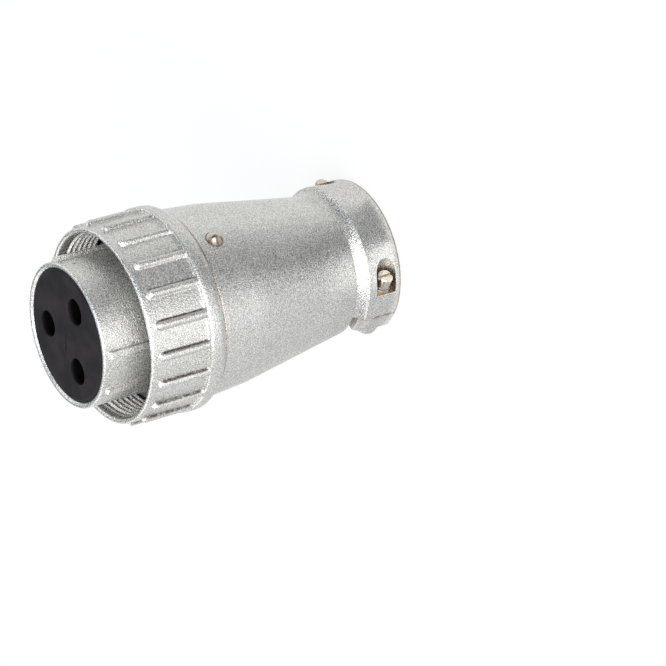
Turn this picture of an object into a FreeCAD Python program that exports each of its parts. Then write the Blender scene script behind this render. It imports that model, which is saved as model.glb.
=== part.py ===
import FreeCAD, Part
import math
import os

from FreeCAD import Placement, Rotation, Vector

# Circular power connector, free plug with three sockets. Millimetres.
# Every piece is built along the connector's own axis, X, with the mating rim at x = 0,
# the cable end towards +X and the cable clamp's screws pointing up, +Z. At the end all
# pieces are turned together, so that the plug stands on its clamp, mating end up.

# Mating barrel of the front shell
mating_gap = 7.0
barrel_wall = 1.85
rim_outer_chamfer = 0.4
rim_inner_chamfer = 0.7
insulator_depth = 24.0
inner_lip_height = 2.65
inner_lip_length = 3.0

# Keys on the barrel, at unequal angles so that the plug mates one way only
main_key_angle = -49.5
key_offsets = (0.0, 105.7, 139.1, 215.0, 265.0)
main_key_width = 5.0
small_key_width = 2.4
key_height = 1.2
key_start = 1.4
key_ramp = 1.1

# Flange, journal and rear sleeve of the front shell
flange_start = 29.0
flange_length = 3.5
flange_gap = 0.5
thread_height = 1.0
flange_height = 1.9
journal_land = 1.2
sleeve_step = 0.6
sleeve_length = 14.6
sleeve_wall = 2.8

# Coupling nut
nut_start = 13.0
nut_body_radius = 33.75
nut_draft = 0.35
nut_front_chamfer = 0.5
nut_mouth_chamfer = 0.6
nut_wall = 1.75
thread_end = 28.4
relief_depth = 0.3
running_gap = 0.08
face_gap = 0.1
lip_length = 5.8
collar_start = 34.7
collar_height = 1.95
collar_edge = 0.45
collar_land = 3.6
nut_back_height = 0.25

# Ribs of the coupling nut
rib_count = 20
rib_first_angle = 5.4
rib_radius = 1.55
rib_height = 1.7
rib_nose = 15.7

# Washers and snap ring that hold the coupling nut
flat_washer_thickness = 0.8
wave_washer_thickness = 0.3
wave_height = 1.0
wave_count = 3
nut_washer_width = 1.6
snap_ring_thickness = 1.0
snap_ring_height = 2.0
snap_groove_depth = 1.0
snap_ring_opening = 14.0

# Insulators
fit_gap = 0.08
insulator_recess = 0.05
insulator_chamfer = 1.1
insulator_chamfer_depth = 0.8
rear_insulator_length = 11.0
pin_circle_margin = 8.1
contact_count = 3
entry_radius = 4.6
entry_chamfer = 0.3

# Socket contacts
contact_start = 7.0
contact_radius = 4.3
contact_bore_radius = 3.05
contact_bore_depth = 14.0
contact_slot_width = 0.9
contact_slot_depth = 12.0
contact_flange_radius = 5.6
contact_flange_length = 2.4
stem_radius = 3.6
cup_length = 13.0
cup_bore_radius = 2.7
cup_bore_depth = 10.0
spring_start = 2.0
spring_length = 4.0
spring_thickness = 0.35
spring_groove_depth = 0.4
spring_opening = 1.2

# Screw that draws the two insulators together
insulator_screw_radius = 1.75
insulator_screw_head_radius = 3.3
insulator_screw_head_height = 2.2
insulator_screw_engagement = 12.0
insulator_washer_radius = 3.1
insulator_washer_thickness = 0.8

# End bell
bell_gap = 0.2
bell_wall = 5.1
bell_front_chamfer = 0.7
bell_shoulder = 54.0
bell_shoulder_drop = 1.0
bell_cone_start = 60.0
bell_cone_drop = 1.6
neck_height = 2.5
neck_wall = 3.5
cavity_setback = 2.2

# Cable clamp: the ring's upper half is cast on the end bell, the lower half is the saddle
clamp_radius = 27.4
clamp_end = 117.0
clamp_length = 13.2
clamp_flare_length = 3.6
clamp_edge = 0.6
clamp_bore_radius = 17.0
clamp_bore_length = 13.6
seam_height = 0.9
seam_gap = 0.4
saddle_length = 14.4
saddle_front_height = 1.8
saddle_flare_length = 4.4
saddle_ear_depth = 7.0
saddle_arch_radius = 21.5
boss_radius = 4.0
boss_offset = 0.7
boss_bottom = 12.9

# Clamp screws and their pockets
clamp_screw_setback = 6.2
clamp_screw_inset = 5.7
pocket_radius = 3.95
pocket_floor = 10.2
clamp_screw_radius = 1.75
clamp_hole_clearance = 0.2
screw_head_radius = 2.7
screw_head_height = 4.2
screw_head_chamfer = 0.35
screw_length = 24.2
slot_width = 0.9
slot_depth = 1.2
clamp_washer_radius = 3.2
clamp_washer_thickness = 0.6
spring_washer_radius = 2.9
spring_washer_thickness = 1.1
spring_washer_split = 0.6

# Lock screw of the end bell
lock_screw_x = 48.8
lock_screw_radius = 1.5
lock_head_radius = 2.8
lock_head_height = 2.1
lock_head_side = 0.7
lock_seat_depth = 0.45
lock_seat_gap = 0.25
lock_hole_clearance = 0.15
lock_screw_length = 6.6
lock_slot_width = 0.8
lock_slot_depth = 1.2

X_AXIS = Vector(1, 0, 0)
Y_AXIS = Vector(0, 1, 0)
Z_AXIS = Vector(0, 0, 1)
ORIGIN = Vector(0, 0, 0)
THREAD_GAP = 0.03
OVERRUN = 1.0

# Radii that follow from the coupling nut's, from the outside in
thread_major_radius = nut_body_radius - nut_wall
relief_radius = thread_major_radius + relief_depth
collar_radius = nut_body_radius + collar_height
nut_back_radius = nut_body_radius + nut_back_height
rib_crest_radius = nut_body_radius + rib_height
flange_radius = thread_major_radius - thread_height - flange_gap
journal_radius = flange_radius - flange_height
nut_washer_radius = journal_radius + nut_washer_width
sleeve_radius = journal_radius - sleeve_step
sleeve_bore_radius = sleeve_radius - sleeve_wall
barrel_radius = thread_major_radius - mating_gap
barrel_bore_radius = barrel_radius - barrel_wall
inner_lip_radius = barrel_bore_radius - inner_lip_height
pin_circle_radius = inner_lip_radius - pin_circle_margin
bell_front_radius = sleeve_radius + bell_wall
bell_shoulder_radius = bell_front_radius - bell_shoulder_drop
bell_cone_radius = bell_front_radius - bell_cone_drop

# Places that follow from the clamp's end
clamp_flare_end = clamp_end - clamp_length
neck_end = clamp_flare_end - clamp_flare_length
neck_radius = clamp_radius - neck_height
cavity_neck_radius = neck_radius - neck_wall
cavity_end = neck_end - cavity_setback
clamp_bore_start = clamp_end - clamp_bore_length
saddle_start = clamp_end - saddle_length
saddle_front_radius = clamp_radius - saddle_front_height
saddle_flare_end = saddle_start + saddle_flare_length
clamp_screw_x = clamp_end - clamp_screw_setback
screw_lateral = clamp_radius - clamp_screw_inset

# Places along the axis that follow from the flange
flange_end = flange_start + flange_length
nut_lip_start = flange_end + flat_washer_thickness + wave_height + 2 * face_gap
nut_end = nut_lip_start + lip_length
snap_ring_start = nut_end + face_gap
journal_end = snap_ring_start + snap_ring_thickness + journal_land
sleeve_end = journal_end + sleeve_length
bell_start = snap_ring_start + snap_ring_thickness + bell_gap
lip_start = insulator_depth
lip_end = insulator_depth + inner_lip_length
rear_insulator_end = lip_end + rear_insulator_length


def outline(points):
    """Closed wire in the XZ plane. A point is (x, radius); a triple (x, radius, bulge) starts
    an arc to the next point whose middle stands off its chord by the bulge."""
    edges = []
    for start, end in zip(points, points[1:] + points[:1]):
        a = Vector(start[0], 0, start[1])
        b = Vector(end[0], 0, end[1])
        if len(start) == 2:
            edges.append(Part.LineSegment(a, b).toShape())
            continue
        chord = b - a
        side = Vector(-chord.z, 0, chord.x).normalize()
        middle = (a + b) * 0.5 + side * start[2]
        edges.append(Part.Arc(a, middle, b).toShape())
    return Part.Wire(edges)


def turned(points):
    """Solid of revolution about the connector's axis."""
    return Part.Face(outline(points)).revolve(ORIGIN, X_AXIS, 360)


def tube(start, end, outer, inner):
    """Plain ring about the connector's axis."""
    return rod(start, end, outer).cut(rod(start, end, inner))


def rod(start, end, radius):
    """Plain cylinder about the connector's axis."""
    return Part.makeCylinder(radius, end - start, Vector(start, 0, 0), X_AXIS)


def block(low, high):
    """Box between two corners."""
    size = Vector(*high) - Vector(*low)
    return Part.makeBox(size.x, size.y, size.z, Vector(*low))


def around(shape, angle):
    """Copy turned about the connector's axis, counted from the top towards the near side."""
    copy = shape.copy()
    copy.rotate(ORIGIN, X_AXIS, angle)
    return copy


def front_shell():
    """Die-cast barrel with its keys, the flange, the nut's journal and the rear sleeve."""
    body = turned([
        (0, barrel_bore_radius + rim_inner_chamfer),
        (0, barrel_radius - rim_outer_chamfer),
        (rim_outer_chamfer, barrel_radius),
        (flange_start, barrel_radius),
        (flange_start, flange_radius),
        (flange_end, flange_radius),
        (flange_end, journal_radius),
        (journal_end, journal_radius),
        (journal_end, sleeve_radius),
        (sleeve_end, sleeve_radius),
        (sleeve_end, sleeve_bore_radius),
        (rear_insulator_end, sleeve_bore_radius),
        (rear_insulator_end, barrel_bore_radius),
        (lip_end, barrel_bore_radius),
        (lip_end, inner_lip_radius),
        (lip_start, inner_lip_radius),
        (lip_start, barrel_bore_radius),
        (rim_inner_chamfer, barrel_bore_radius),
    ])
    groove = tube(snap_ring_start, snap_ring_start + snap_ring_thickness,
                  journal_radius + OVERRUN, journal_radius - snap_groove_depth - THREAD_GAP)
    tapped_hole = Part.makeCylinder(lock_screw_radius + THREAD_GAP, sleeve_radius,
                                    Vector(lock_screw_x, 0, barrel_bore_radius), Z_AXIS)
    keys = [barrel_key(main_key_width if offset == 0 else small_key_width, main_key_angle + offset)
            for offset in key_offsets]
    return body.cut([groove, tapped_hole]).fuse(keys).removeSplitter()


def barrel_key(width, angle):
    """One raised key with a sloped lead-in, from just behind the rim to the flange."""
    root = barrel_radius - OVERRUN
    crest = barrel_radius + key_height
    profile = Part.Face(outline([
        (key_start, root),
        (key_start, barrel_radius - rim_outer_chamfer),
        (key_start + key_ramp, crest),
        (flange_start + OVERRUN, crest),
        (flange_start + OVERRUN, root),
    ]))
    key = profile.extrude(Y_AXIS * width)
    key.translate(Y_AXIS * (-width / 2))
    return around(key, angle)


def coupling_nut():
    """Ribbed coupling nut with a raised rear collar and an inner lip that runs on the journal."""
    collar_end = collar_start + collar_land
    bore = journal_radius + running_gap
    body = turned([
        (nut_start, thread_major_radius + nut_mouth_chamfer),
        (nut_start, nut_body_radius - nut_front_chamfer),
        (nut_start + nut_front_chamfer, nut_body_radius),
        (collar_start, nut_body_radius + nut_draft),
        (collar_start, collar_radius - collar_edge),
        (collar_start + collar_edge, collar_radius),
        (collar_end, collar_radius, 0.25),
        (nut_end, nut_back_radius),
        (nut_end, bore),
        (nut_lip_start, bore),
        (nut_lip_start, relief_radius),
        (thread_end, relief_radius),
        (thread_end, thread_major_radius),
        (nut_start + nut_mouth_chamfer, thread_major_radius),
    ])
    pitch = 360.0 / rib_count
    ribs = [around(nut_rib(), rib_first_angle + pitch * k) for k in range(rib_count)]
    return body.fuse(ribs).removeSplitter()


def nut_rib():
    """Half-round rib with a rounded nose, running back into the collar."""
    height = rib_crest_radius - rib_radius
    start = rib_nose + rib_radius
    length = collar_start + OVERRUN - start
    bar = Part.makeCylinder(rib_radius, length, Vector(start, 0, height), X_AXIS)
    nose = Part.makeSphere(rib_radius, Vector(start, 0, height))
    return bar.fuse(nose)


def nut_flat_washer():
    """Flat washer behind the flange."""
    return tube(flange_end, flange_end + flat_washer_thickness,
                nut_washer_radius, journal_radius + fit_gap)


def nut_wave_washer():
    """Wave washer between the flat washer and the nut's lip, closed from four ruled bands."""
    start = flange_end + flat_washer_thickness
    corners = [(0, journal_radius + fit_gap), (0, nut_washer_radius),
               (wave_washer_thickness, nut_washer_radius), (wave_washer_thickness, journal_radius + fit_gap)]
    edges = [wave_edge(start + shift, radius) for shift, radius in corners]
    bands = [Part.makeRuledSurface(a, b) for a, b in zip(edges, edges[1:] + edges[:1])]
    solid = Part.Solid(Part.Shell(bands))
    if solid.Volume < 0:
        solid.reverse()
    return solid


def wave_edge(start, radius):
    """Closed curve that swings along X three times in one turn about the axis."""
    swing = (wave_height - wave_washer_thickness) / 2
    steps = 16 * wave_count
    points = []
    for k in range(steps):
        turn = 2 * math.pi * k / steps
        x = start + swing * (1 + math.cos(wave_count * turn))
        points.append(Vector(x, -radius * math.sin(turn), radius * math.cos(turn)))
    curve = Part.BSplineCurve()
    curve.interpolate(points, True)
    return curve.toShape()


def nut_snap_ring():
    """Open ring in the journal's groove, which keeps the nut on the shell."""
    groove_floor = journal_radius - snap_groove_depth
    ring = tube(snap_ring_start, snap_ring_start + snap_ring_thickness,
                groove_floor + snap_ring_height, groove_floor)
    half = math.radians(snap_ring_opening / 2)
    reach = (groove_floor + snap_ring_height) / math.cos(half) + OVERRUN
    wedge = Part.makePolygon([
        Vector(snap_ring_start - OVERRUN, 0, 0),
        Vector(snap_ring_start - OVERRUN, -reach * math.sin(half), -reach * math.cos(half)),
        Vector(snap_ring_start - OVERRUN, reach * math.sin(half), -reach * math.cos(half)),
        Vector(snap_ring_start - OVERRUN, 0, 0),
    ])
    opening = Part.Face(wedge).extrude(X_AXIS * (snap_ring_thickness + 2 * OVERRUN))
    return ring.cut(opening)


def contact_places():
    """Angle of each contact on the pin circle, the first one at the top."""
    return [360.0 / contact_count * k for k in range(contact_count)]


def off_axis(start, end, radius, angle):
    """Cylinder along X through one place on the pin circle."""
    shape = Part.makeCylinder(radius, end - start, Vector(start, 0, pin_circle_radius), X_AXIS)
    return around(shape, angle)


def front_insulator():
    """Moulded face insulator, seated from the front on the shell's inner lip."""
    radius = barrel_bore_radius - fit_gap
    spigot = inner_lip_radius - fit_gap
    body = turned([
        (insulator_recess, 0),
        (insulator_recess, radius - insulator_chamfer),
        (insulator_recess + insulator_chamfer_depth, radius),
        (lip_start, radius),
        (lip_start, spigot),
        (lip_end, spigot),
        (lip_end, 0),
    ])
    holes = [rod(lip_end - insulator_screw_engagement, lip_end, insulator_screw_radius + THREAD_GAP)]
    flange_room = contact_flange_radius + fit_gap
    for angle in contact_places():
        holes.append(off_axis(insulator_recess, lip_end, entry_radius, angle))
        holes.append(off_axis(lip_end - contact_flange_length, lip_end, flange_room, angle))
        countersink = Part.makeCone(entry_radius + entry_chamfer, entry_radius, entry_chamfer,
                                    Vector(insulator_recess, 0, pin_circle_radius), X_AXIS)
        holes.append(around(countersink, angle))
    return body.cut(holes)


def rear_insulator():
    """Rear insulator, which traps the contacts' flanges against the front one."""
    body = turned([
        (lip_end, 0),
        (lip_end, barrel_bore_radius - fit_gap),
        (rear_insulator_end - insulator_chamfer, barrel_bore_radius - fit_gap),
        (rear_insulator_end, barrel_bore_radius - fit_gap - insulator_chamfer),
        (rear_insulator_end, 0),
    ])
    holes = [rod(lip_end, rear_insulator_end, insulator_screw_radius + clamp_hole_clearance)]
    for angle in contact_places():
        holes.append(off_axis(lip_end, rear_insulator_end, stem_radius + fit_gap, angle))
    return body.cut(holes)


def spring_place():
    """Where the spring band starts on a contact."""
    return contact_start + spring_start


def socket_contact(angle):
    """Turned socket with slotted fingers in front, a flange, and a solder cup behind."""
    flange_front = lip_end - contact_flange_length
    cup_end = rear_insulator_end + cup_length
    barrel = Part.makeCylinder(contact_radius, flange_front - contact_start,
                               Vector(contact_start, 0, 0), X_AXIS)
    flange = rod(flange_front, lip_end, contact_flange_radius)
    stem = rod(lip_end, cup_end, stem_radius)
    body = barrel.fuse([flange, stem])
    bore = rod(contact_start, contact_start + contact_bore_depth, contact_bore_radius)
    half = contact_slot_width / 2
    slot_end = contact_start + contact_slot_depth
    upright = block((contact_start, -half, -contact_radius), (slot_end, half, contact_radius))
    level = block((contact_start, -contact_radius, -half), (slot_end, contact_radius, half))
    band = tube(spring_place(), spring_place() + spring_length,
                contact_radius + OVERRUN, contact_radius - spring_groove_depth)
    cup = rod(cup_end - cup_bore_depth, cup_end, cup_bore_radius)
    window = block((cup_end - cup_bore_depth + cup_bore_radius, -stem_radius, 0),
                   (cup_end, stem_radius, stem_radius))
    body = body.cut([bore, upright, level, band, cup, window])
    body.translate(Vector(0, 0, pin_circle_radius))
    return around(body, angle)


def contact_spring(angle):
    """Split spring band that presses one socket's fingers together."""
    inner = contact_radius - spring_groove_depth
    band = tube(spring_place(), spring_place() + spring_length, inner + spring_thickness, inner)
    half = spring_opening / 2
    opening = block((spring_place(), -half, 0), (spring_place() + spring_length, half, contact_radius))
    band = band.cut(opening)
    band.translate(Vector(0, 0, pin_circle_radius))
    return around(band, angle)


def insulator_screw():
    """Pan-head screw through the rear insulator into the front one."""
    head_start = rear_insulator_end + insulator_washer_thickness
    head_end = head_start + insulator_screw_head_height
    head = turned([
        (head_start, 0),
        (head_start, insulator_screw_head_radius),
        (head_start + insulator_screw_head_height / 2, insulator_screw_head_radius, 0.35),
        (head_end, insulator_screw_head_radius / 2),
        (head_end, 0),
    ])
    shank = rod(lip_end - insulator_screw_engagement, head_start, insulator_screw_radius)
    half = slot_width / 2
    slot = block((head_end - slot_depth, -half, -insulator_screw_head_radius),
                 (head_end + OVERRUN, half, insulator_screw_head_radius))
    return head.fuse(shank).cut(slot)


def insulator_washer():
    """Washer under the insulator screw."""
    return tube(rear_insulator_end, rear_insulator_end + insulator_washer_thickness,
                insulator_washer_radius, insulator_screw_radius + THREAD_GAP)


def end_bell():
    """Cast end bell: a short front section, a cone to the neck, and the clamp's upper half."""
    bore = sleeve_radius + THREAD_GAP
    body = turned([
        (journal_end, bore),
        (journal_end, journal_radius + THREAD_GAP),
        (bell_start, journal_radius + THREAD_GAP),
        (bell_start, bell_front_radius - bell_front_chamfer, 0.15),
        (bell_start + bell_front_chamfer, bell_front_radius),
        (bell_shoulder, bell_shoulder_radius, 0.08),
        (bell_cone_start, bell_cone_radius),
        (neck_end, neck_radius, -0.35),
        (clamp_flare_end, clamp_radius),
        (clamp_end - clamp_edge, clamp_radius, 0.15),
        (clamp_end, clamp_radius - clamp_edge),
        (clamp_end, clamp_bore_radius + clamp_edge),
        (clamp_end - clamp_edge, clamp_bore_radius),
        (clamp_bore_start, clamp_bore_radius),
        (cavity_end, cavity_neck_radius),
        (sleeve_end, bore),
    ])
    reach = clamp_radius + OVERRUN
    below_seam = block((neck_end, -reach, -reach), (clamp_end + OVERRUN, reach, seam_height))
    cuts = [below_seam]
    for lateral in (-screw_lateral, screw_lateral):
        foot = Vector(clamp_screw_x, lateral, 0)
        side = math.copysign(1, lateral)
        cuts.append(Part.makeCylinder(pocket_radius, clamp_radius, foot + Z_AXIS * pocket_floor, Z_AXIS))
        cuts.append(block((clamp_screw_x - pocket_radius, min(lateral, side * reach), pocket_floor),
                          (clamp_screw_x + pocket_radius, max(lateral, side * reach), clamp_radius)))
        cuts.append(Part.makeCylinder(clamp_screw_radius + clamp_hole_clearance, clamp_radius,
                                      foot - Z_AXIS * OVERRUN, Z_AXIS))
    seat = lock_seat()
    cuts.append(Part.makeCylinder(lock_head_radius + lock_seat_gap, lock_head_height,
                                  Vector(lock_screw_x, 0, seat), Z_AXIS))
    cuts.append(Part.makeCylinder(lock_screw_radius + lock_hole_clearance, seat,
                                  Vector(lock_screw_x, 0, sleeve_radius - OVERRUN), Z_AXIS))
    return body.cut(cuts)


def lock_seat():
    """Height of the flat seat that is cut for the lock screw's head."""
    run = bell_shoulder - bell_start - bell_front_chamfer
    share = (lock_screw_x - bell_start - bell_front_chamfer) / run
    surface = bell_front_radius + share * (bell_shoulder_radius - bell_front_radius)
    return surface - lock_seat_depth


def clamp_saddle():
    """Lower half of the cable clamp: an arch between two ears, with a boss round each tapped hole."""
    lateral = screw_lateral + boss_offset
    body = turned([
        (saddle_start, clamp_bore_radius),
        (saddle_start, saddle_front_radius, 0.3),
        (saddle_flare_end, clamp_radius),
        (clamp_end - clamp_edge, clamp_radius, 0.15),
        (clamp_end, clamp_radius - clamp_edge),
        (clamp_end, clamp_bore_radius + clamp_edge),
        (clamp_end - clamp_edge, clamp_bore_radius),
    ])
    ears = block((saddle_start, -clamp_radius, -saddle_ear_depth), (clamp_end, clamp_radius, seam_height))
    body = body.common(ears.fuse(rod(saddle_start, clamp_end, saddle_arch_radius)))
    tip_height = boss_radius - boss_bottom
    for side in (-1, 1):
        tip = Vector(clamp_screw_x, side * lateral, tip_height)
        straight = Part.makeCylinder(boss_radius, -tip_height, tip, Z_AXIS)
        boss = straight.fuse(Part.makeSphere(boss_radius, tip))
        body = body.fuse(boss.cut(rod(saddle_start, clamp_end, (saddle_arch_radius + clamp_bore_radius) / 2)))
    reach = clamp_radius + boss_radius
    above_seam = block((saddle_start - OVERRUN, -reach, seam_height - seam_gap),
                       (clamp_end + OVERRUN, reach, reach))
    body = body.cut(above_seam)
    for lateral in (-screw_lateral, screw_lateral):
        hole = Part.makeCylinder(clamp_screw_radius + THREAD_GAP, clamp_radius + seam_height,
                                 Vector(clamp_screw_x, lateral, -clamp_radius), Z_AXIS)
        body = body.cut(hole)
    return body.removeSplitter()


def clamp_washer(lateral):
    """Flat washer on the pocket's floor."""
    foot = Vector(clamp_screw_x, lateral, pocket_floor)
    disc = Part.makeCylinder(clamp_washer_radius, clamp_washer_thickness, foot, Z_AXIS)
    return disc.cut(Part.makeCylinder(clamp_screw_radius + THREAD_GAP, clamp_washer_thickness, foot, Z_AXIS))


def clamp_spring_washer(lateral):
    """Split spring washer under the screw head."""
    foot = Vector(clamp_screw_x, lateral, pocket_floor + clamp_washer_thickness)
    disc = Part.makeCylinder(spring_washer_radius, spring_washer_thickness, foot, Z_AXIS)
    hole = Part.makeCylinder(clamp_screw_radius + THREAD_GAP, spring_washer_thickness, foot, Z_AXIS)
    half = spring_washer_split / 2
    split = block((foot.x, foot.y - half, foot.z),
                  (foot.x + spring_washer_radius, foot.y + half, foot.z + spring_washer_thickness))
    return disc.cut([hole, split])


def clamp_screw(lateral):
    """Slotted cheese-head screw that draws the saddle up."""
    seat = pocket_floor + clamp_washer_thickness + spring_washer_thickness
    foot = Vector(clamp_screw_x, lateral, seat)
    side = Part.makeCylinder(screw_head_radius, screw_head_height - screw_head_chamfer, foot, Z_AXIS)
    crown = Part.makeCone(screw_head_radius, screw_head_radius - screw_head_chamfer, screw_head_chamfer,
                          foot + Z_AXIS * (screw_head_height - screw_head_chamfer), Z_AXIS)
    shank = Part.makeCylinder(clamp_screw_radius, screw_length, foot - Z_AXIS * screw_length, Z_AXIS)
    half = slot_width / 2
    top = seat + screw_head_height
    slot = block((foot.x - screw_head_radius, foot.y - half, top - slot_depth),
                 (foot.x + screw_head_radius, foot.y + half, top + OVERRUN))
    return side.fuse([crown, shank]).cut(slot).removeSplitter()


def lock_screw():
    """Slotted pan-head screw through the end bell into the shell's sleeve."""
    seat = lock_seat()
    top = seat + lock_head_height
    profile = outline([
        (lock_screw_x, seat),
        (lock_screw_x + lock_head_radius, seat),
        (lock_screw_x + lock_head_radius, seat + lock_head_side, 0.25),
        (lock_screw_x + lock_head_radius / 3, top),
        (lock_screw_x, top),
    ])
    head = Part.Face(profile).revolve(Vector(lock_screw_x, 0, 0), Z_AXIS, 360)
    tip = seat - lock_screw_length
    shank = Part.makeCylinder(lock_screw_radius, lock_screw_length, Vector(lock_screw_x, 0, tip), Z_AXIS)
    half = lock_slot_width / 2
    slot = block((lock_screw_x - lock_head_radius, -half, top - lock_slot_depth),
                 (lock_screw_x + lock_head_radius, half, top + OVERRUN))
    return head.fuse(shank).cut(slot).removeSplitter()


def all_pieces():
    """Every node by name, still along the connector's own axis."""
    pieces = {
        "front_shell": front_shell(),
        "coupling_nut": coupling_nut(),
        "nut_flat_washer": nut_flat_washer(),
        "nut_wave_washer": nut_wave_washer(),
        "nut_snap_ring": nut_snap_ring(),
        "front_insulator": front_insulator(),
        "rear_insulator": rear_insulator(),
        "insulator_screw": insulator_screw(),
        "insulator_washer": insulator_washer(),
        "end_bell": end_bell(),
        "lock_screw": lock_screw(),
        "clamp_saddle": clamp_saddle(),
    }
    for number, angle in enumerate(contact_places(), 1):
        pieces["socket_contact_%d" % number] = socket_contact(angle)
        pieces["contact_spring_%d" % number] = contact_spring(angle)
    for side, lateral in (("near", -screw_lateral), ("far", screw_lateral)):
        pieces["clamp_screw_" + side] = clamp_screw(lateral)
        pieces["clamp_washer_" + side] = clamp_washer(lateral)
        pieces["clamp_spring_washer_" + side] = clamp_spring_washer(lateral)
    return pieces


def main():
    """Stand every piece on the clamp's end and write it."""
    os.makedirs("parts", exist_ok=True)
    standing = Placement(Z_AXIS * clamp_end, Rotation(-Z_AXIS, X_AXIS, -Y_AXIS, "ZXY"))
    for name, shape in all_pieces().items():
        shape.transformShape(standing.toMatrix(), True)
        if not shape.isValid() or len(shape.Solids) != 1:
            print("CHECK", name, shape.isValid(), len(shape.Solids))
        shape.Solids[0].exportStep("parts/%s.step" % name)
        print(name, round(shape.Volume, 1))


main()
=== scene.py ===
import math

import bpy
from mathutils import Matrix, Vector


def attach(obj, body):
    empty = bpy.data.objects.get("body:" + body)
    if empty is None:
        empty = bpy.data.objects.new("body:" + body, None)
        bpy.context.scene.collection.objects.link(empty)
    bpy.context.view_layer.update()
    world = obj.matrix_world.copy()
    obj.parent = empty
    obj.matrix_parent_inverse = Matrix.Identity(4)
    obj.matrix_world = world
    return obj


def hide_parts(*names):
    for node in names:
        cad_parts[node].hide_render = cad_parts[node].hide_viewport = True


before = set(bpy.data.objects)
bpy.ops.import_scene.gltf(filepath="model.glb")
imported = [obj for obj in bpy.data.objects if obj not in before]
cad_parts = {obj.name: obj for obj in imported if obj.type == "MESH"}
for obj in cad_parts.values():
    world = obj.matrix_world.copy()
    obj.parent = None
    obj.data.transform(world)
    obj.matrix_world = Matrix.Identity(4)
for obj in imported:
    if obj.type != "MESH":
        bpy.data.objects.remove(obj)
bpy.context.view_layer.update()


# The table and the studio. The plug stands on a wide white table with a white wall far behind it, and the
# camera is rolled so that the plug seems to lie as in the photograph. Soft boxes stand round it. Sectors of
# grey card on the table give the paint what the real plug mirrored, and only reflections see them.
class Socket:
    """One output socket of a material. Arithmetic on it adds Math nodes, and node() adds any other node."""

    def __init__(self, tree, output=None):
        self.tree = tree
        self.output = output

    def node(self, kind, settings=None, values=None, outlet=0):
        """A new node's output: its settings are set first, then the values or links of its sockets."""
        made = self.tree.nodes.new(kind)
        for name, value in (settings or {}).items():
            setattr(made, name, value)
        for name, value in (values or {}).items():
            if isinstance(value, Socket):
                self.tree.links.new(value.output, made.inputs[name])
            else:
                made.inputs[name].default_value = value
        return Socket(self.tree, made.outputs[outlet] if made.outputs else None)

    def math(self, operation, *operands):
        return self.node("ShaderNodeMath", {"operation": operation}, dict(enumerate(operands)))

    def __add__(self, other):
        return self.math("ADD", self, other)

    def __radd__(self, other):
        return self.math("ADD", other, self)

    def __sub__(self, other):
        return self.math("SUBTRACT", self, other)

    def __rsub__(self, other):
        return self.math("SUBTRACT", other, self)

    def __mul__(self, other):
        return self.math("MULTIPLY", self, other)

    def __rmul__(self, other):
        return self.math("MULTIPLY", other, self)

    def __truediv__(self, other):
        return self.math("DIVIDE", self, other)

    def __rtruediv__(self, other):
        return self.math("DIVIDE", other, self)

    def smooth(self, start, end, low=0.0, high=1.0):
        """Goes softly from low to high as the value goes from start to end."""
        return self.node("ShaderNodeMapRange", {"interpolation_type": "SMOOTHSTEP"},
                         {"Value": self, 1: start, 2: end, 3: low, 4: high})

    def blend(self, first, second):
        """A colour between two others, by this value."""
        return self.node("ShaderNodeMix", {"data_type": "RGBA"}, {0: self, 6: first, 7: second}, 2)


def empty_material(name):
    """A material without nodes, and its tree."""
    material = bpy.data.materials.new(name)
    material.use_nodes = True
    material.node_tree.nodes.clear()
    return material, Socket(material.node_tree)


def put_in_scene(name, data):
    """An object with this mesh, lamp or camera, linked to the scene."""
    made = bpy.data.objects.new(name, data)
    bpy.context.scene.collection.objects.link(made)
    return made


def table_finish():
    """White paint that glows for the camera and in reflections, so the plug's shadow stays faint."""
    glow_share = 0.84
    material, tree = empty_material("white table")
    seen_by = [tree.node("ShaderNodeLightPath", outlet=ray)
               for ray in ("Is Camera Ray", "Is Glossy Ray", "Is Transmission Ray")]
    seen = seen_by[0] + seen_by[1] + seen_by[2]
    paint = tree.node("ShaderNodeBsdfDiffuse", None, {"Color": (0.86, 0.86, 0.86, 1)})
    glow = tree.node("ShaderNodeEmission", None, {"Color": (1, 1, 1, 1)})
    mixed = tree.node("ShaderNodeMixShader", None, {0: seen * glow_share, 1: paint, 2: glow})
    tree.node("ShaderNodeOutputMaterial", None, {"Surface": mixed})
    return material


white = table_finish()
half_table = 6
table_mesh = bpy.data.meshes.new("table")
table_corners = [(-half_table, -half_table, 0), (half_table, -half_table, 0),
                 (half_table, half_table, 0), (-half_table, half_table, 0)]
table_mesh.from_pydata(table_corners, [], [(0, 1, 2, 3)])
table_mesh.materials.append(white)

wall_radius = 5.9
wall_height = 1.4
wall_panels = 72
wall_turns = [math.radians(360 / wall_panels * panel) for panel in range(wall_panels)]
wall_corners = [(wall_radius * math.cos(turn), wall_radius * math.sin(turn), height)
                for height in (0, wall_height) for turn in wall_turns]
wall_faces = []
for panel in range(wall_panels):
    beside = (panel + 1) % wall_panels
    wall_faces.append((panel, beside, beside + wall_panels, panel + wall_panels))
wall_mesh = bpy.data.meshes.new("backdrop")
wall_mesh.from_pydata(wall_corners, [], wall_faces)
wall_mesh.materials.append(white)

put_in_scene("table", table_mesh)
put_in_scene("backdrop", wall_mesh)


def round_about(angle, elevation=0.0):
    """Direction from the plug's middle: the angle runs from the picture's top towards the near side."""
    turned, raised = math.radians(angle), math.radians(elevation)
    outwards = math.cos(raised)
    return Vector((-math.sin(turned) * outwards, -math.cos(turned) * outwards, math.sin(raised)))


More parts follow.
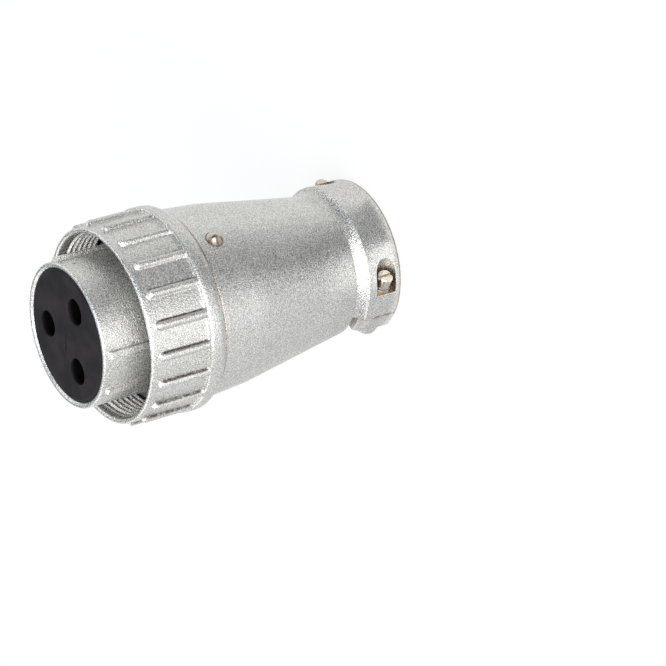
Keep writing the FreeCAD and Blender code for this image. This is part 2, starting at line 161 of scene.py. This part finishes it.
def soft_box(name, angle, elevation, width, height, power, colour=(1, 1, 1)):
    """Area lamp that looks at the plug's middle from one side."""
    plug_middle = Vector((0, 0, 0.06))
    distance = 0.9
    away = round_about(angle, elevation)
    light = bpy.data.lights.new(name, "AREA")
    light.shape = "RECTANGLE"
    light.size = width
    light.size_y = height
    light.energy = power
    light.color = colour
    lamp = put_in_scene(name, light)
    lamp.location = plug_middle + away * distance
    lamp.rotation_euler = away.to_track_quat("Z", "Y").to_euler()


soft_box("front box", 55, 22, 0.9, 0.6, 6.5)
soft_box("high front box", 55, 50, 1.1, 0.5, 4.8)
soft_box("upper box", -95, 42, 0.7, 0.6, 2.6)
soft_box("lower box", 165, 42, 0.7, 0.7, 3.6)
soft_box("nose box", 0, 88, 0.6, 0.6, 2.8, (0.72, 0.86, 1.0))


def reflection_card(name, start, end, inner, outer, shade):
    """Sector of glowing card that lies on the table, between two angles and two radii in metres."""
    steps = 8
    above_table = Vector((0, 0, 0.0012))
    corners = []
    for radius in (inner, outer):
        for step in range(steps + 1):
            corners.append(round_about(start + (end - start) * step / steps) * radius + above_table)
    mesh = bpy.data.meshes.new(name)
    mesh.from_pydata(corners, [], [(k, k + 1, k + steps + 2, k + steps + 1) for k in range(steps)])
    material, tree = empty_material(name)
    cool_white = (shade, shade * 1.01 + 0.002, shade * 1.03 + 0.006, 1)
    glow = tree.node("ShaderNodeEmission", None, {"Color": cool_white})
    tree.node("ShaderNodeOutputMaterial", None, {"Surface": glow})
    mesh.materials.append(material)
    card = put_in_scene(name, mesh)
    card.visible_camera = False
    card.visible_diffuse = False
    card.visible_shadow = False
    card.visible_transmission = False


# Each card's angles in degrees, its inner and outer radius, and its shade, where white paper is 1. The clamp
# mirrors the inner cards, then come those for the bell's tail, the bell's front, the nut and the barrel.
for name, start, end, inner, outer, shade in (
        ("clamp dark card", -10, 30, 0.029, 0.046, 0.33),
        ("clamp white card", 30, 70, 0.029, 0.046, 1.60),
        ("clamp grey card", 70, 210, 0.029, 0.046, 0.65),
        ("tail upper card", -10, 10, 0.046, 0.075, 0.50),
        ("tail dark card", 10, 50, 0.046, 0.075, 0.04),
        ("tail lower card", 50, 70, 0.046, 0.075, 0.48),
        ("bell upper card", -30, -10, 0.046, 0.150, 0.57),
        ("bell dark card", -10, 30, 0.075, 0.150, 0.30),
        ("bell white card", 30, 70, 0.075, 0.150, 1.05),
        ("bell grey card", 70, 210, 0.046, 0.150, 0.76),
        ("far upper card", -30, -10, 0.150, 0.900, 0.46),
        ("far grey card", 70, 210, 0.150, 0.900, 0.85),
        ("nut dark card", -10, 30, 0.150, 0.200, 0.04),
        ("nut lower card", 30, 50, 0.150, 0.200, 0.35),
        ("nut white card", 50, 70, 0.150, 0.200, 1.55),
        ("barrel dark card", -10, 10, 0.200, 0.900, 0.10),
        ("barrel lower card", 10, 30, 0.200, 0.900, 0.55),
        ("barrel white card", 30, 70, 0.200, 0.900, 1.65)):
    reflection_card(name, start, end, inner, outer, shade)

world = bpy.data.worlds.new("studio")
world.use_nodes = True
sky = world.node_tree.nodes["Background"]
sky.inputs["Color"].default_value = (0.42, 0.47, 0.57, 1)
sky.inputs["Strength"].default_value = 0.32
bpy.context.scene.world = world
bpy.context.scene.view_settings.view_transform = "Standard"

camera_data = bpy.data.cameras.new("camera")
camera_data.lens = 162.16
camera_data.sensor_width = 36
camera_data.clip_start = 0.05
camera_data.clip_end = 30
camera_place = (-0.4895, -0.7534, 0.5513)
camera_right = Vector((-0.49583, -0.27087, -0.82509))
camera_up = Vector((0.74329, -0.62369, -0.24192))
camera_forward = Vector((0.44908, 0.73324, -0.51058))
camera_turn = Matrix((camera_right, camera_up, -camera_forward)).transposed()
camera = put_in_scene("camera", camera_data)
camera.matrix_world = Matrix.Translation(camera_place) @ camera_turn.to_4x4()
bpy.context.scene.camera = camera


# The front shell. A die casting: the keyed mating barrel, the flange behind the nut's thread and the sleeve
# inside the end bell. It is sprayed all over with a satin silver paint full of metal flakes.
def dress(name, material):
    """Gives one CAD node its finish."""
    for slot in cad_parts[name].material_slots:
        slot.material = material


def new_finish(name):
    """An empty material, its tree, and the place on the object in metres."""
    material, tree = empty_material(name)
    return material, tree, tree.node("ShaderNodeTexCoord", outlet="Object")


def close_finish(tree, values):
    """The shader with those sockets, on the material's output."""
    shader = tree.node("ShaderNodeBsdfPrincipled", None, values)
    tree.node("ShaderNodeOutputMaterial", None, {"Surface": shader})


def along(tree, place, axis):
    """One coordinate of the place: X, Y or Z."""
    return tree.node("ShaderNodeSeparateXYZ", None, {"Vector": place}, axis)


def radius_of(tree, place):
    """Distance from the plug's axis in metres."""
    flat = tree.node("ShaderNodeVectorMath", {"operation": "MULTIPLY"}, {0: place, 1: (1, 1, 0)})
    return tree.node("ShaderNodeVectorMath", {"operation": "LENGTH"}, {0: flat}, "Value")


def silver_paint(name, stain_and_shade_mask, stain_and_shade):
    """Satin silver paint over a sand-rough casting; the second argument gives a mask of the places painted in
    the third argument's colour, for stains and for painted shade.
    """
    dark_silver = (0.35, 0.345, 0.325, 1)
    pale_silver = (0.90, 0.887, 0.846, 1)
    material, tree, place = new_finish(name)
    sand = tree.node("ShaderNodeTexNoise", None, {"Vector": place, "Scale": 2600, "Detail": 0.6})
    cloud = tree.node("ShaderNodeTexNoise", None, {"Vector": place, "Scale": 90, "Detail": 3})
    flakes = tree.node("ShaderNodeTexVoronoi", None, {"Vector": place, "Scale": 2800}, "Color")
    flake = along(tree, flakes, "X")
    tone = sand.smooth(0.3, 0.7) * 0.4 + cloud * 0.15 + flake * 0.45
    colour = stain_and_shade_mask(tree, place).blend(tone.blend(dark_silver, pale_silver), stain_and_shade)
    rounded = tree.node("ShaderNodeBevel", {"samples": 4}, {"Radius": 0.0004})
    bump = tree.node("ShaderNodeBump", None,
                     {"Strength": 1.0, "Distance": 0.00017, "Height": sand, "Normal": rounded})
    close_finish(tree, {"Base Color": colour, "Metallic": 0.85, "Roughness": flake.smooth(0.0, 1.0, 0.22, 0.36),
                        "Normal": bump})
    return material


def barrel_grime(tree, place):
    """One dark pit in the paint, near the rim."""
    pit = (0.0125, -0.02165, 0.1124)
    away = tree.node("ShaderNodeVectorMath", {"operation": "DISTANCE"}, {0: place, 1: pit}, "Value")
    return away.smooth(0.0006, 0.0003, 0.0, 0.9)


# Dark brown, for the pit in the barrel's paint and for the painted shade on the nut.
dark_brown_stain_and_shade = (0.05, 0.036, 0.028, 1)
dress("front_shell", silver_paint("silver paint on the shell", barrel_grime, dark_brown_stain_and_shade))


# The insulators. Two discs of dull black thermoset moulding that hold the three contacts between them, drawn
# together by a steel screw and washer in the middle. The front one shows in the barrel's mouth.
def black_moulding():
    """Dull black moulding with a smudged face and a slit that runs to the lowest hole; below the face, in the
    contact holes and all behind, it is painted near black as painted shade.
    """
    material, tree, place = new_finish("black moulding")
    grain = tree.node("ShaderNodeTexNoise", None, {"Vector": place, "Scale": 900, "Detail": 3})
    smudge = tree.node("ShaderNodeTexNoise", None, {"Vector": place, "Scale": 110, "Detail": 2})
    tone = grain * 0.4 + smudge.smooth(0.35, 0.65) * 0.6
    face = tone.blend((0.009, 0.008, 0.009, 1), (0.025, 0.021, 0.022, 1))
    down = along(tree, place, "Y") * 1000 + 0.35
    aside = along(tree, place, "X") * 1000 - 0.3 + down * 0.46
    slit = tree.math("ABSOLUTE", aside).smooth(0.60, 0.25) * down.smooth(-0.2, 0.5) * down.smooth(6.4, 5.0)
    face = (slit * 0.9).blend(face, (0.001, 0.001, 0.001, 1))
    # Painted shade: all that lies more than about two millimetres behind the face, the contact holes with it,
    # is painted near black.
    near_face = along(tree, place, "Z").smooth(0.1150, 0.1168)
    colour = near_face.blend((0.0005, 0.0005, 0.0005, 1), face)
    bump = tree.node("ShaderNodeBump", None, {"Strength": 0.2, "Distance": 0.0001, "Height": grain})
    close_finish(tree, {"Base Color": colour, "Roughness": 0.6, "Specular IOR Level": 0.1, "Normal": bump})
    return material


def plated_metal(name, colour, roughness):
    """Plain metal or plating, a little uneven in its shine."""
    material, tree, place = new_finish(name)
    grain = tree.node("ShaderNodeTexNoise", None, {"Vector": place, "Scale": 700, "Detail": 3})
    uneven = grain.smooth(0.2, 0.8, roughness - 0.08, roughness + 0.08)
    close_finish(tree, {"Base Color": colour, "Metallic": 1.0, "Roughness": uneven})
    return material


moulding = black_moulding()
dress("front_insulator", moulding)
dress("rear_insulator", moulding)
nickel = plated_metal("nickel steel", (0.66, 0.60, 0.51, 1), 0.28)
dress("insulator_screw", nickel)
dress("insulator_washer", nickel)


# The contacts. Three turned brass sockets, plated and slotted in front so that they grip a pin, each with an
# open ring of spring steel round the slotted end. The insulators clamp them by a flange.
brass = plated_metal("plated brass", (0.75, 0.6, 0.36, 1), 0.3)
spring_steel = plated_metal("spring steel", (0.4, 0.4, 0.42, 1), 0.35)
for number in (1, 2, 3):
    dress("socket_contact_%d" % number, brass)
    dress("contact_spring_%d" % number, spring_steel)


# The coupling nut. A die-cast ring with twenty half-round ribs for the fingers, a raised rear collar and a
# coarse thread cut inside its mouth. It runs freely on the shell's journal and is painted with the rest.
# Its sizes are in millimetres, and distances along the axis are counted back from the barrel's rim.
MM = 0.001
RIM_HEIGHT = 0.117
RIBS = 20
FIRST_RIB = 5.4
RIB_TOP = 35.45
RIB_ROUND = 1.55
RIB_NOSE = 15.7
RIB_FILLET = 0.5
BODY_RADIUS = 33.75
MOUTH_RADIUS = 32.0
THREAD_PITCH = 2.0
THREAD_HEIGHT = 0.95
THREAD_END = 28.4


def soft_max(first, second, reach):
    """The larger of two radii, with a fillet where they meet."""
    near = max(reach - abs(first - second), 0.0) / reach
    return max(first, second) + near * near * reach / 4


def rib_radius(back, across):
    """Radius of a rib's surface, this far behind the rim and to the side of the rib's middle line."""
    ahead = max(RIB_NOSE + RIB_ROUND - back, 0.0)
    away = across * across + ahead * ahead
    centre = RIB_TOP - RIB_ROUND
    if away < RIB_ROUND * RIB_ROUND:
        return centre + math.sqrt(RIB_ROUND * RIB_ROUND - away)
    return centre - 2.0 * (math.sqrt(away) - RIB_ROUND)


def thread_radius(back, angle):
    """Radius inside the mouth: ridges that climb once round per pitch and run out in front."""
    share = ((back + angle / 360 * THREAD_PITCH) / THREAD_PITCH) % 1.0
    ridge = min(max(1.35 * (1 - abs(2 * share - 1)) - 0.2, 0.0), 1.0)
    run_out = min(max((back - 15.4) / 1.6, 0.0), 1.0)
    return MOUTH_RADIUS - THREAD_HEIGHT * ridge * run_out


def nut_outline():
    """Stations round the nut's section: distance behind the rim, radius, and what shapes it there."""
    stations = [(13.6, MOUTH_RADIUS, "plain"), (13.25, 32.3, "plain"), (13.03, 32.6, "plain"),
                (13.0, 32.9, "plain"), (13.03, 33.2, "plain"), (13.15, 33.5, "plain"),
                (13.35, 33.68, "plain"), (13.7, BODY_RADIUS, "plain")]
    for back in (14.5, 15.2, 15.6, 15.72, 15.85, 16.05, 16.3, 16.6, 16.95, 17.3, 18.5, 20.5,
                 23, 26, 29, 32, 33.6, 34.3):
        stations.append((back, BODY_RADIUS + 0.35 * (back - 13.7) / 21.0, "rib"))
    stations += [(34.55, 34.12, "rib"), (34.68, 34.25, "rib"), (34.74, 34.6, "rib"), (34.78, 35.0, "rib"),
                 (34.86, 35.35, "rib"), (35.05, 35.58, "rib"), (35.4, 35.7, "plain"), (36.6, 35.7, "plain"),
                 (38.4, 35.7, "plain"), (38.9, 35.6, "plain"), (39.5, 35.3, "plain"), (40.3, 34.8, "plain"),
                 (41.0, 34.3, "plain"), (41.4, 33.9, "plain"), (41.5, 33.5, "plain"), (41.5, 31.5, "plain"),
                 (40.3, 31.5, "plain"), (40.3, 28.68, "plain"), (34.5, 28.68, "plain"), (34.5, 32.3, "plain"),
                 (THREAD_END, 32.3, "plain"), (THREAD_END, MOUTH_RADIUS, "plain")]
    steps = 74
    for step in range(1, steps):
        stations.append((THREAD_END - (THREAD_END - 15.0) * step / steps, MOUTH_RADIUS, "thread"))
    stations.append((14.4, MOUTH_RADIUS, "plain"))
    return stations


def nut_angles():
    """Angles round the nut, close together at each rib's flanks, and how far each is from its rib's middle."""
    across = (-5.3, -4.2, -3.2, -2.6, -2.25, -2.0, -1.8, -1.65, -1.5, -1.3, -1.0, -0.6, -0.2,
              0.2, 0.6, 1.0, 1.3, 1.5, 1.65, 1.8, 2.0, 2.25, 2.6, 3.2, 4.2)
    flank_radius = 34.0
    turns = []
    for rib in range(RIBS):
        for offset in across:
            turns.append((FIRST_RIB + 360 / RIBS * rib + math.degrees(offset / flank_radius), offset))
    return turns


def nut_mesh():
    """Closed skin of the whole nut, one ring of points per station."""
    stations = nut_outline()
    turns = nut_angles()
    points = []
    for back, base, kind in stations:
        for angle, across in turns:
            radius = base
            if kind == "rib":
                radius = soft_max(base, rib_radius(back, across), RIB_FILLET)
            if kind == "thread":
                radius = thread_radius(back, angle)
            turn = math.radians(angle)
            place = (-radius * math.sin(turn) * MM, -radius * math.cos(turn) * MM, RIM_HEIGHT - back * MM)
            points.append(place)
    count = len(turns)
    faces = []
    for row in range(len(stations)):
        this_row = row * count
        next_row = (row + 1) % len(stations) * count
        for column in range(count):
            beside = (column + 1) % count
            faces.append((this_row + column, this_row + beside, next_row + beside, next_row + column))
    mesh = bpy.data.meshes.new("nut_casting")
    mesh.from_pydata(points, [], faces)
    mesh.shade_smooth()
    return mesh


def nut_shade_and_dark_roots(tree, place):
    """Painted shade along the upper flank of each rib and on the nut's back next to the bell, and a darker
    colour in the thread's roots.
    """
    turned = tree.node("ShaderNodeVectorMath", {"operation": "MULTIPLY"}, {0: place, 1: (-1, -1, 1)})
    angle = tree.math("ARCTAN2", along(tree, turned, "X"), along(tree, turned, "Y")) * math.degrees(1)
    half_pitch = 180 / RIBS
    across = tree.math("WRAP", angle - FIRST_RIB, half_pitch, -half_pitch)
    radius = radius_of(tree, place)
    height = along(tree, place, "Z")
    lumps = tree.node("ShaderNodeTexNoise", None, {"Vector": place, "Scale": 800, "Detail": 2})
    # Painted shade: the upper flank of each rib, which the light leaves dark, is painted brown.
    rib_side = across.smooth(-3.5, -2.7) * across.smooth(-1.7, -2.5)
    rib_length = (height.smooth(RIM_HEIGHT - 0.0345, RIM_HEIGHT - 0.0335)
                  * height.smooth(RIM_HEIGHT - 0.0158, RIM_HEIGHT - 0.0172))
    by_ribs = rib_side * rib_length * radius.smooth(0.0333, 0.0336) * lumps.smooth(0.3, 0.6, 0.45, 0.9)
    # The thread's roots are painted darker.
    in_roots = radius.smooth(0.03155, 0.0319) * radius.smooth(0.03235, 0.0321)
    in_thread = in_roots * height.smooth(RIM_HEIGHT - 0.0150, RIM_HEIGHT - 0.0165)
    # Painted shade: the nut's back, in the groove where it meets the bell, is painted darker.
    on_back = height.smooth(RIM_HEIGHT - 0.0408, RIM_HEIGHT - 0.0415, 0.0, 0.4)
    return by_ribs + in_thread * 0.5 + on_back


# The nut's paint carries painted shade along its ribs and on its back, and darker thread roots.
nut = put_in_scene("nut_casting", nut_mesh())
nut.data.materials.append(silver_paint("silver paint on the nut", nut_shade_and_dark_roots, dark_brown_stain_and_shade))
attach(nut, "nut")
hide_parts("coupling_nut")


# The nut's washers and snap ring. Behind the shell's flange come a flat washer and a wave washer that takes up
# the nut's play, and an open ring in the shell's groove keeps the nut on. All three are steel and out of sight.
dress("nut_flat_washer", nickel)
dress("nut_wave_washer", spring_steel)
dress("nut_snap_ring", spring_steel)


# The end bell. A hollow die casting that tapers to the flared upper half of the cable clamp. It is pushed on
# to the shell's sleeve, locked by one screw, and painted like the rest; brown staining has gathered in its
# pockets, which also carry painted shade, and painted shade lies along its front edge and round the lock screw.
# Its sizes are in metres: out from the plug's axis, and up from the end that the plug stands on.
CLAMP_RADIUS = 0.0274
CLAMP_SCREW_OUT = 0.0217
CLAMP_SCREW_UP = 0.0062
SADDLE_TOP = 0.0144
LOCK_SCREW_UP = 0.0682
BELL_TOP = 0.0754


def bell_stain_and_shade(tree, place):
    """Brown staining and painted shade in the screw pockets, the shade deepening towards their floors; brown
    staining along the cable end's worn edge and in the seam; painted shade along the front edge behind the
    coupling nut and in a ring round the lock screw's seat.
    """
    x, y, z = (along(tree, place, axis) for axis in "XYZ")
    radius = radius_of(tree, place)
    lumps = tree.node("ShaderNodeTexNoise", None, {"Vector": place, "Scale": 500, "Detail": 2})

    # Brown staining with painted shade in the screw pockets, darker towards their floors.
    inwards = tree.math("MINIMUM", tree.math("ABSOLUTE", x) - CLAMP_SCREW_OUT, 0.0)
    endwise = z - CLAMP_SCREW_UP
    from_screw = tree.math("SQRT", inwards * inwards + endwise * endwise)
    in_casting = from_screw.smooth(0.0047, 0.0042) * radius.smooth(CLAMP_RADIUS, CLAMP_RADIUS - 0.0003)
    pocket = in_casting * y.smooth(-0.0165, -0.0135) * y.smooth(-0.0090, -0.0098)

    worn_edge = z.smooth(0.0010, 0.0004) * radius.smooth(0.0250, 0.0262) * lumps.smooth(0.3, 0.55, 0.4, 0.95)
    by_seam = tree.math("ABSOLUTE", y + 0.0009).smooth(0.0008, 0.0003)
    below_saddle_top = z.smooth(SADDLE_TOP + 0.0001, SADDLE_TOP - 0.0004)
    seam = by_seam * below_saddle_top * lumps.smooth(0.45, 0.55)
    # Painted shade along the front edge, in the groove behind the coupling nut.
    front_edge = z.smooth(BELL_TOP - 0.0011, BELL_TOP - 0.0004, 0.0, 0.5)

    # Painted shade: a dark ring round the lock screw's seat.
    above_screw = z - LOCK_SCREW_UP
    from_lock = tree.math("SQRT", x * x + above_screw * above_screw)
    by_lock = tree.math("ABSOLUTE", from_lock - 0.0030).smooth(0.0005, 0.0001, 0.0, 0.5)
    lock_seat = by_lock * y.smooth(-0.025, -0.030)

    stain_and_shade = pocket * lumps.smooth(0.2, 0.6, 0.6, 0.95) + worn_edge + seam * 0.5 + front_edge + lock_seat
    return tree.math("MINIMUM", stain_and_shade, 1.0)


# Rusty brown, for the bell's stains and for its painted shade.
rust_brown_stain_and_shade = (0.26, 0.165, 0.09, 1)
dress("end_bell", silver_paint("silver paint on the bell", bell_stain_and_shade, rust_brown_stain_and_shade))


# The lock screw of the end bell. A small slotted steel screw, nickel plated, rusty brown low on its head and in
# the lower half of its slot, partly corrosion and partly painted shade. It goes through the bell into the
# shell's sleeve.
def nickel_with_rust_and_shade():
    """Satin nickel, rusty brown at the head's two lower corners and in the lower half of its slot, partly
    corrosion and partly painted shade.
    """
    material, tree, place = new_finish("nickel with rust and painted shade")
    across = tree.math("ABSOLUTE", along(tree, place, "Z") - LOCK_SCREW_UP)
    x = along(tree, place, "X")
    # Painted shade and rust: the head's two lower corners and the lower half of its slot are painted rusty
    # brown.
    corners = across.smooth(0.0014, 0.0021) * x.smooth(0.0008, -0.0003)
    slot = across.smooth(0.0006, 0.0003) * x.smooth(0.0012, 0.0002)
    rust_and_shade = tree.math("MAXIMUM", corners, slot)
    colour = (rust_and_shade * 0.9).blend((0.70, 0.66, 0.60, 1), (0.15, 0.06, 0.02, 1))
    close_finish(tree, {"Base Color": colour, "Metallic": rust_and_shade.smooth(0.0, 1.0, 1.0, 0.2), "Roughness": 0.5})
    return material


dress("lock_screw", nickel_with_rust_and_shade())


# The clamp saddle. The lower half of the cable clamp, a small die casting with a tapped lug on each side. The
# two clamp screws pull it up against the bell, and it is painted with the rest.
def saddle_grime(tree, place):
    """A brown tint on the ends of the screw lugs, and brown staining in the seam."""
    x, y = (along(tree, place, axis) for axis in "XY")
    lumps = tree.node("ShaderNodeTexNoise", None, {"Vector": place, "Scale": 500, "Detail": 2})
    lugs = y.smooth(0.0125, 0.0165, 0.0, 0.35) * tree.math("ABSOLUTE", x).smooth(0.0155, 0.0180)
    seam = y.smooth(0.0006, 0.0, 0.0, 0.5) * lumps.smooth(0.45, 0.55)
    return lugs * lumps.smooth(0.3, 0.6, 0.4, 1.0) + seam


lug_dirt = (0.42, 0.27, 0.18, 1)
dress("clamp_saddle", silver_paint("silver paint on the saddle", saddle_grime, lug_dirt))


# The clamp screws. Two slotted cheese-head screws of nickel-plated steel, warm and dull with age. Each has a
# flat washer and a split spring washer under its head and turns into the saddle's lug.
tarnished_nickel = plated_metal("tarnished nickel", (0.65, 0.59, 0.49, 1), 0.3)
for side in ("near", "far"):
    dress("clamp_screw_" + side, tarnished_nickel)
    dress("clamp_washer_" + side, tarnished_nickel)
    dress("clamp_spring_washer_" + side, spring_steel)
